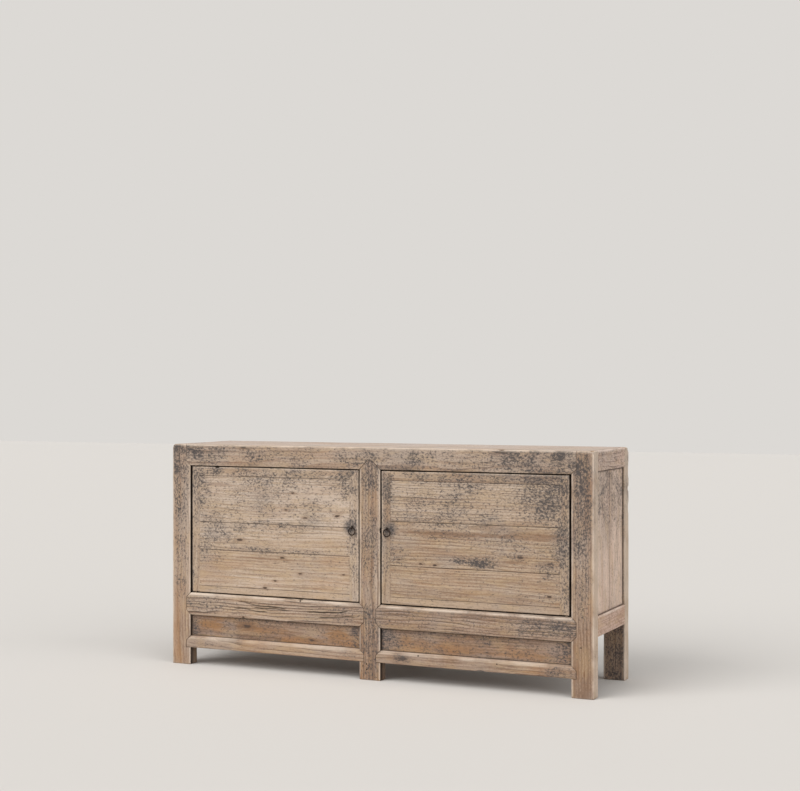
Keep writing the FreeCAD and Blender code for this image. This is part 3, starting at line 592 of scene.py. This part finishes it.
def grain_axis(node):
    """The way a timber's grain runs: up, from front to back, or else across."""
    if named(node, UP_GRAIN):
        return Z
    if named(node, BACK_GRAIN):
        return Y
    return X


def exposed_box(node):
    """A timber's box, drawn out along a rail, whose ends are joints and don't wear."""
    low, high = (corner.copy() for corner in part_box(node))
    if "rail" in node:
        low[grain_axis(node)] -= FAR
        high[grain_axis(node)] += FAR
    return low, high


def leaf_box(side):
    """The box of a door, without the pivots that stick out of it above and below."""
    low, high = (corner.copy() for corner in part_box(f"{side}_door_latch_stile"))
    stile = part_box(f"{side}_door_pivot_stile")
    low.x = min(low.x, stile[0].x)
    high.x = max(high.x, stile[1].x)
    return low, high


def worn_box(node):
    """The box whose edges have worn round: a whole door's, or a frame timber's own; panels have none."""
    if "_door_" in node:
        return leaf_box(node.split("_")[0])
    if named(node, PANELS + INNER):
        return None
    return exposed_box(node)


def on_box(face, box):
    """Whether a face lies on one of a box's six sides."""
    middle = face.calc_center_median()
    for axis in (X, Y, Z):
        if abs(face.normal[axis]) > SQUARE:
            return min(abs(middle[axis] - side[axis]) for side in box) < ON_SIDE * MM
    return False


def upright(edge):
    """Whether an edge stands upright."""
    start, end = (vert.co for vert in edge.verts)
    return abs(end.z - start.z) > UPRIGHT * (end - start).length


def edge_round(edge, job):
    """How far an edge is rounded, in millimetres, and whether it is the open mouth of a joint."""
    if len(edge.link_faces) != 2 or not edge.is_convex or edge.calc_face_angle(0.0) < SHARP:
        return 0.0, False
    if job.worn_box and all(on_box(face, job.worn_box) for face in edge.link_faces):
        ways = sum((face.normal for face in edge.link_faces), Vector())
        upper_front = ways.z > UPRIGHT and ways.y < -UPRIGHT
        return (CROWN if job.crowned and upper_front else ARRIS), False
    if any(on_box(face, job.box) for face in edge.link_faces):
        return (FINE_SEAM, False) if job.close and upright(edge) else (SEAM, True)
    return 0.0, False


def bevelled(name, plain):
    """A mesh with its edges rounded by their weights."""
    carrier = bpy.data.objects.new(name, plain)
    bpy.context.scene.collection.objects.link(carrier)
    bevel = carrier.modifiers.new("arris", "BEVEL")
    bevel.limit_method = "WEIGHT"
    bevel.width = CROWN * MM
    bevel.segments = BEVEL_STEPS
    bevel.use_clamp_overlap = False
    ready = carrier.evaluated_get(bpy.context.evaluated_depsgraph_get())
    mesh = bpy.data.meshes.new_from_object(ready)
    bpy.data.objects.remove(carrier)
    bpy.data.meshes.remove(plain)
    return mesh


def rounded_mesh(job):
    """A merged copy of a CAD timber: outer arrises worn round, joint mouths just eased.

    A crowned timber has its upper front arris worn to a broad round. The second value finds the nearest
    point of a joint mouth.
    """
    bm = bmesh.new()
    bm.from_mesh(frame["nodes"][job.node].data)
    bmesh.ops.remove_doubles(bm, verts=bm.verts, dist=SAME_POINT * MM)
    bmesh.ops.dissolve_limit(bm, angle_limit=FLAT, verts=bm.verts, edges=bm.edges)
    weight = bm.edges.layers.float.new("bevel_weight_edge")

    # The first point lies far off, so that there is one to find in a timber without joints.
    mouths = [Vector((0.0, 0.0, -FAR))]
    for edge in bm.edges:
        reach, mouth = edge_round(edge, job)
        edge[weight] = reach / CROWN
        if mouth:
            start, end = (vert.co for vert in edge.verts)
            count = 1 + int((end - start).length / (MOUTH_STEP * MM))
            mouths += [start.lerp(end, turn / count) for turn in range(count + 1)]
    plain = bpy.data.meshes.new(job.node + "_plain")
    bm.to_mesh(plain)
    bm.free()
    nearest = kdtree.KDTree(len(mouths))
    for at, point in enumerate(mouths):
        nearest.insert(point, at)
    nearest.balance()
    return bevelled(job.node + "_plain", plain), nearest


def dent_cuts(job, axis):
    """Where a timber is cut along one axis so that its dents and splits take shape."""
    places = []
    for name, start, end, reach, depth in DENTS:
        if name == job.node and (axis != job.along or start == end):
            low, high = sorted((start[axis], end[axis]))
            if axis == Z and start != end:
                low, high = low - SPLIT_WAVER, high + SPLIT_WAVER
            count = DENT_CUTS + round((high - low) / (reach / 2))
            length = high - low + 2 * reach
            places += [(low - reach + length * turn / count) * MM for turn in range(count + 1)]
    return places


def cut_places(job, axis):
    """Where to cut a timber along one axis: evenly, near both its sides, and where it is dented."""
    low, high = (corner[axis] for corner in job.box)
    spacing = job.cut if axis == job.along else BOARD_CUT
    count = max(1, round((high - low) / (spacing * MM)))
    places = {low + (high - low) * turn / count for turn in range(1, count)}
    for inset in EDGE_CUTS:
        if high - low > EDGE_ROOM * inset * MM:
            places |= {low + inset * MM, high - inset * MM}
    places |= {place for place in dent_cuts(job, axis) if low < place < high}
    kept = []
    for place in sorted(places):
        if not kept or place - kept[-1] > LEAST_CUT * MM:
            kept.append(place)
    return kept


def cut_up(bm, job):
    """Cuts a timber's faces into small ones."""
    for axis in (X, Y, Z):
        normal = Vector([float(axis == other) for other in (X, Y, Z)])
        for place in cut_places(job, axis):
            everything = bm.verts[:] + bm.edges[:] + bm.faces[:]
            bmesh.ops.bisect_plane(bm, geom=everything, dist=ON_CUT * MM, plane_co=normal * place,
                                   plane_no=normal)


def grain_at(job, point):
    """Where a point lies in the trunk: along it, across it and out from its heart."""
    apart = point - job.middle
    return (point[job.along] + job.start, apart[job.across] - job.offset,
            apart[job.through] + job.depth + job.lean * apart[job.along])


def on_end(job, point, normal):
    """Whether a point is on the side of a leg that looks out at an end of the sideboard."""
    return "leg" in job.node and normal.x * math.copysign(1.0, point.x) > FACING


def nature_at(job, point, normal):
    """A timber's nature at a point: ends are bleached, and feet browned by damp floors."""
    shade, split, warm, bold = job.nature
    if on_end(job, point, normal):
        shade += BLEACHED_SHADE
    elif named(job.node, ("leg", "post")):
        foot = clamp((FOOT_TOP - point.z / MM) / FOOT_FADE)
        shade -= FOOT_SHADE * foot
        warm += FOOT_WARMTH * foot
    return shade, split, warm, bold


def paint_at(job, point, normal):
    """Share of old paint left at a point; legs share the ends' outside, and edges and insides have little."""
    end = on_end(job, point, normal)
    amount, patches = OLD_PAINT["side"] if end else job.paint
    for x, z, reach_x, reach_z, share in patches:
        apart = math.hypot((point.x / MM - x) / reach_x, (point.z / MM - z) / reach_z)
        amount = max(amount, share * clamp(PATCH_FIRM * (1 - apart)))
    return amount if end or normal.y < -FACING or "side" in job.node else EDGE_PAINT * amount


def dent_at(job, point):
    """How deep a timber is dented or split at a point, in millimetres, and how far into a split it is."""
    deepest = (0.0, 0.0)
    for name, start, end, reach, depth in DENTS:
        if name == job.node:
            waver = SPLIT_WAVER * noise.noise(point / (SPLIT_WAVE * MM)) if start != end else 0.0
            place = point / MM + Vector((0.0, 0.0, waver))
            near, along = intersect_point_line(place, start, Vector(end) + Vector((0.0, 0.0, HAIR)))
            near = near if 0 < along < 1 else Vector(start if along <= 0 else end)
            share = max(0.0, 1.0 - ((place - near).length / reach) ** 2)
            deepest = max(deepest, (depth * share, share if start != end else 0.0))
    return deepest


def rubbed_at(job, point, normal):
    """How pale a point is rubbed, with a painted highlight along a crown, and how far it is from the nearest
    edge, in millimetres.
    """
    if not job.worn_box:
        return 0.0, math.inf
    ends = [(axis, end) for axis in (X, Y, Z) for end in (0, 1)]
    sides = sorted((abs(point[axis] - job.worn_box[end][axis]) / MM, axis, end) for axis, end in ends)
    edge = sides[1][0]
    underneath = any(side[1:] == (Z, 0) for side in sides[:2])
    most = UNDER_WEAR if underneath else DOOR_WEAR if "_door_" in job.node else 1.0
    rubbed = most * max(0.0, 1.0 - edge / WEAR_REACH)
    if on_end(job, point, normal):
        rubbed = max(rubbed, BLEACHED)
    # On a crowned rail the pale band along the rounded upper front is rubbed wear and a painted highlight.
    if job.crowned:
        most = 1.0 if "middle" in job.node else LOW_RAIL_WEAR_AND_HIGHLIGHT
        rim = math.hypot(point.y - job.box[0].y, point.z - job.box[1].z) / MM
        rubbed = max(rubbed * most, min(most, RIM_WEAR_AND_HIGHLIGHT - RIM_WEAR_AND_HIGHLIGHT * rim / CROWN_WEAR_AND_HIGHLIGHT))
    return rubbed, edge


def groove_shade(job, point):
    """Painted shade round a panel's sides, where it enters the grooves of its frame."""
    fade = END_GROOVE_FADE if "side" in job.node else GROOVE_FADE
    insets = [abs(point[axis] - job.box[end][axis]) / MM for axis, end in job.grooves]
    return clamp(max((1.0 - (inset - GROOVE_START) / fade for inset in insets), default=0.0))


def gap_shade(job, point):
    """Painted shade on a face that looks into the gap round a door: black at its mouth, lighter further in.
    """
    sunk = (point.y - job.box[0].y) / MM - (CROWN_GAP_START if job.crowned else GAP_START)
    dark = clamp(1.0 - (sunk - GAP_END) / GAP_END_FADE, GAP_DEEP_SHADE)
    return min(dark, sunk / GAP_FADE)


def gap_ways(node):
    """The ways a timber's faces look into the dark gap round a door."""
    if "_door_" in node:
        ways = ((1, 0, 0), (-1, 0, 0), (0, 0, 1), (0, 0, -1))
    else:
        ways = GAP_SIDES.get(node, ())
    return [Vector(way) for way in ways]


def age(bm, job, mouths):
    """Settles and thins a timber, and writes its grain, nature, wear with painted highlight, paint, and grime
    with painted shade.
    """
    grain = bm.verts.layers.float_vector.new("grain")
    nature = bm.verts.layers.float_color.new("nature")
    wear = bm.verts.layers.float.new("wear")
    paint = bm.verts.layers.float.new("paint")
    grime = bm.verts.layers.float.new("grime")
    ways = gap_ways(job.node)
    aside = Vector((job.start, 0, 0))
    bm.normal_update()
    moves = []
    for vert in bm.verts:
        point = vert.co.copy()
        dent, in_split = dent_at(job, point)
        rubbed, edge = rubbed_at(job, point, vert.normal)
        vert[grain] = grain_at(job, point)
        vert[nature] = nature_at(job, point, vert.normal)
        vert[paint] = paint_at(job, point, vert.normal)
        vert[wear] = rubbed
        # Dirt in splits and joint mouths, and painted shade along a panel's grooves.
        vert[grime] = max(in_split, 1.0 - mouths.find(point)[2] / (SEAM * MM), groove_shade(job, point))
        # Faces that look into the gap round a door get painted shade, and less of the pale rub.
        if any(vert.normal.dot(way) > FACING for way in ways):
            vert[wear] = GAP_WEAR * rubbed
            vert[grime] = max(vert[grime], gap_shade(job, point))
        shift = SETTLING * noise.noise((point + aside) / (SETTLING_WAVE * MM)) - dent
        if edge < THINNED:
            shift -= THINNING * max(0.0, noise.noise((point - aside) / (THINNING_WAVE * MM)))
        moves.append(vert.normal * shift * MM)
    for vert, move in zip(bm.verts, moves):
        vert.co += move


def plan(node):
    """What shaping a timber needs to know of it, with the heart of the trunk that it was sawn from."""
    job = SimpleNamespace(node=node, worn_box=worn_box(node))
    job.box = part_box(node)
    job.middle = (job.box[0] + job.box[1]) / 2
    job.crowned = node in CROWNED
    job.close = named(node, CLOSE)
    job.cut = HIDDEN_CUT if named(node, HIDDEN) else SHOWN_CUT
    job.grooves = first_named(node, GROOVES, ())
    job.nature = first_named(node, NATURES, USUAL_NATURE)
    job.paint = first_named(node, OLD_PAINT, (0.0, ()))
    job.along = grain_axis(node)
    job.across, job.through = [axis for axis in (X, Z, Y) if axis != job.along]
    chance = random.Random(node)
    job.start = chance.uniform(0, GRAIN_SPREAD)
    job.offset = chance.choice((-1, 1)) * chance.uniform(*HEART_OFFSET)
    job.offset *= job.box[1][job.across] - job.box[0][job.across]
    job.depth = chance.uniform(*HEART_DEPTH) * MM
    job.lean = chance.uniform(-HEART_LEAN, HEART_LEAN)
    return job


def timber(node, material):
    """One timber of the sideboard, worn, in place of its plain CAD node."""
    job = plan(node)
    mesh, mouths = rounded_mesh(job)
    bm = bmesh.new()
    bm.from_mesh(mesh)
    cut_up(bm, job)
    age(bm, job, mouths)
    for face in bm.faces:
        face.smooth = True
    bm.to_mesh(mesh)
    bm.free()
    mesh.set_sharp_from_angle(angle=SHADED_SHARP)
    mesh.name = node + "_worn"
    mesh.materials.clear()
    mesh.materials.append(material)
    piece = bpy.data.objects.new(node + "_worn", mesh)
    bpy.context.scene.collection.objects.link(piece)
    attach(piece, body_of[node])
    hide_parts(node)


# Where the right pull is, across and up, for the grey that hands have left round it.
right_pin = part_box("right_pull_pin")
pull_at = [(right_pin[0][axis] + right_pin[1][axis]) / 2 for axis in (X, Z)]

# Elm of the outer frame: grey-brown, with pale rubbed edges and a few knots and nail holes.
frame_elm = old_wood(
    "weathered_elm_frame", ("#806551", "#a58c77", "#b9a491", "#d6c5b4"),
    knots=((-524, 833, 6), (506, 832, 8), (128, 90, 9)),
    streaks=((2, 221, 15, 3, 0.95), (8, 209, 10, 3, 0.95), (806, 84, 4, 16, 0.95)),
    holes=((-13, 58, 3), (-12, 38, 3), (-27, 50, 2.5), (795, 173, 2.5), (191, 102, 3), (490, 95, 2.5),
           (-285, 270, 4), (-528, 194, 3.5)))

# Elm of the doors: lighter, flecked with dark paint, with brown streaks along the boards.
door_elm = old_wood(
    "weathered_elm_doors", ("#927861", "#b8a18a", "#cbb8a6", "#dac9b9"), front=DOOR_FRONT,
    knots=((-541, 484, 4.3), (-361, 425, 3.6), (-285, 369, 3.2), (-391, 338, 2.6), (-433, 309, 3.6),
           (-132, 588, 3.6), (-264, 576, 3.2), (-345, 603, 2.8), (-316, 666, 2.6), (-106, 375, 2.6),
           (576, 468, 4.3), (684, 452, 4.3), (681, 339, 3.6), (117, 441, 2.4), (200, 430, 3.0),
           (255, 427, 3.2)),
    streaks=((300, 540, 260, 13, 0.75), (620, 541, 220, 15, 0.6), (560, 452, 60, 7, 0.6),
             (-640, 690, 90, 10, 0.45), (-420, 418, 160, 7, 0.5), (-330, 318, 240, 6, 0.45),
             (-130, 600, 60, 7, 0.4), (400, 727, 330, 8, 0.4)),
    pull=pull_at)

# Elm of the aprons: warmer and browner, with orange resin, because the rails above kept the light from it.
apron_elm = old_wood(
    "weathered_elm_aprons", ("#6a4f3b", "#917560", "#a68a74", "#bfa790"), front=APRON_FRONT,
    knots=((-516, 160, 6), (-241, 126, 3), (451, 130, 2.4)),
    streaks=((-680, 156, 75, 24, 0.85), (-515, 163, 60, 22, 0.6), (-430, 150, 120, 18, 0.5),
             (-240, 126, 80, 14, 0.6), (-138, 148, 62, 34, 0.8), (135, 150, 44, 26, 0.6),
             (205, 138, 60, 30, 0.5), (340, 136, 150, 20, 0.5), (605, 130, 100, 20, 0.55)),
    stain=RESIN)

# Elm of the ends: the palest, dry and streaked; its rails still show the saw.
side_elm = old_wood("weathered_elm_ends", ("#9f8371", "#ccb09e", "#dcc5b4", "#e4d4c6"))
sawn_elm = old_wood("sawn_elm_ends", ("#927563", "#c2a594", "#d4bbab", "#e4d2c5"), saw_angle=40)

# Elm of the top: greyed by dust and by things set down on it.
top_elm = old_wood("weathered_elm_top", ("#9a877c", "#b9a89d", "#cabdb3", "#dbd0c6"))

# Pine inside and at the back: brown where it is shut away, grey and rough where it faces a wall.
inner_pine = old_wood("dry_pine_inside", ("#6e5441", "#8d735d", "#a48b76", "#b59c87"))
back_pine = old_wood("rough_pine_back", ("#7d6a5b", "#a38f7e", "#b5a392", "#c6b6a6"))
iron = forged_iron()

# Which finish a timber has, by the first of these words that is in its name; the rest have the frame's.
FINISHES = {
    "_door_": door_elm,
    "apron": apron_elm,
    "side_front_board": side_elm,
    "side_back_board": side_elm,
    "top_front_board": top_elm,
    "top_middle_board": top_elm,
    "top_back_board": top_elm,
    "back_upper": back_pine,
    "back_lower": back_pine,
    **{word: inner_pine for word in INNER},
    "side_": sawn_elm,
}

# The timbers, and the iron of the pulls.
for node in body_of:
    if "pull" in node:
        frame["nodes"][node].data.materials.clear()
        frame["nodes"][node].data.materials.append(iron)
    else:
        timber(node, first_named(node, FINISHES, frame_elm))

# Studio: a floor of pale paper, matt and even, so that only the shadow shows on it.
FLOOR_REACH = 20.0
floor_mesh = bpy.data.meshes.new("studio_floor")
bm = bmesh.new()
bmesh.ops.create_grid(bm, x_segments=1, y_segments=1, size=FLOOR_REACH)
bm.to_mesh(floor_mesh)
bm.free()
floor = bpy.data.objects.new("studio_floor", floor_mesh)
bpy.context.scene.collection.objects.link(floor)
paper, _, surface = new_material("pale_paper")
surface.inputs["Base Color"].default_value = linear("#cdc9c4")
surface.inputs["Roughness"].default_value = 0.9
floor_mesh.materials.append(paper)

# Lamps from the left, the right and above: the way to each, its strength, and its breadth in degrees.
LAMPS = (
    ("key", (-0.45, -0.8, 0.7), 1.85, 45.0),
    ("fill", (0.9, -0.3, 0.45), 1.3, 60.0),
    ("overhead", (0.0, -0.3, 1.0), 1.2, 60.0),
)
for name, way, strength, breadth in LAMPS:
    lamp = bpy.data.lights.new(name, "SUN")
    lamp.energy = strength
    lamp.angle = math.radians(breadth)
    holder = bpy.data.objects.new(name, lamp)
    holder.rotation_euler = Vector(way).to_track_quat("Z", "Y").to_euler()
    bpy.context.scene.collection.objects.link(holder)

# World: a faint light from all round, and a pale backdrop wherever the camera looks past the floor.
world = bpy.data.worlds.new("studio")
bpy.context.scene.world = world
world.use_nodes = True
sky = world.node_tree
sky.nodes.clear()
ray = add(sky, "LightPath").node
seen = add(sky, "Math", (ray.outputs["Is Camera Ray"], ray.outputs["Is Glossy Ray"]), operation="MAXIMUM")
seen = add(sky, "Math", (seen, ray.outputs["Is Transmission Ray"]), operation="MAXIMUM")
room_light = add(sky, "Background", {"Color": linear("#ffffff"), "Strength": 0.28})
backdrop = add(sky, "Background", {"Color": linear("#dcd9d5"), "Strength": 1.0})
mixed = add(sky, "MixShader", (seen, room_light, backdrop))
add(sky, "OutputWorld", {"Surface": mixed})

# The camera stands where it was fitted.
camera = bpy.data.cameras.new("camera")
camera.lens = CAMERA_LENS
camera.sensor_width = 36.0
camera.sensor_fit = "HORIZONTAL"
stand = bpy.data.objects.new("camera", camera)
stand.location = Vector(CAMERA_PLACE) * MM
stand.rotation_euler = (math.radians(90 + CAMERA_PITCH), 0.0, math.radians(CAMERA_YAW))
bpy.context.scene.collection.objects.link(stand)
bpy.context.scene.camera = stand
bpy.context.scene.view_settings.view_transform = "Standard"
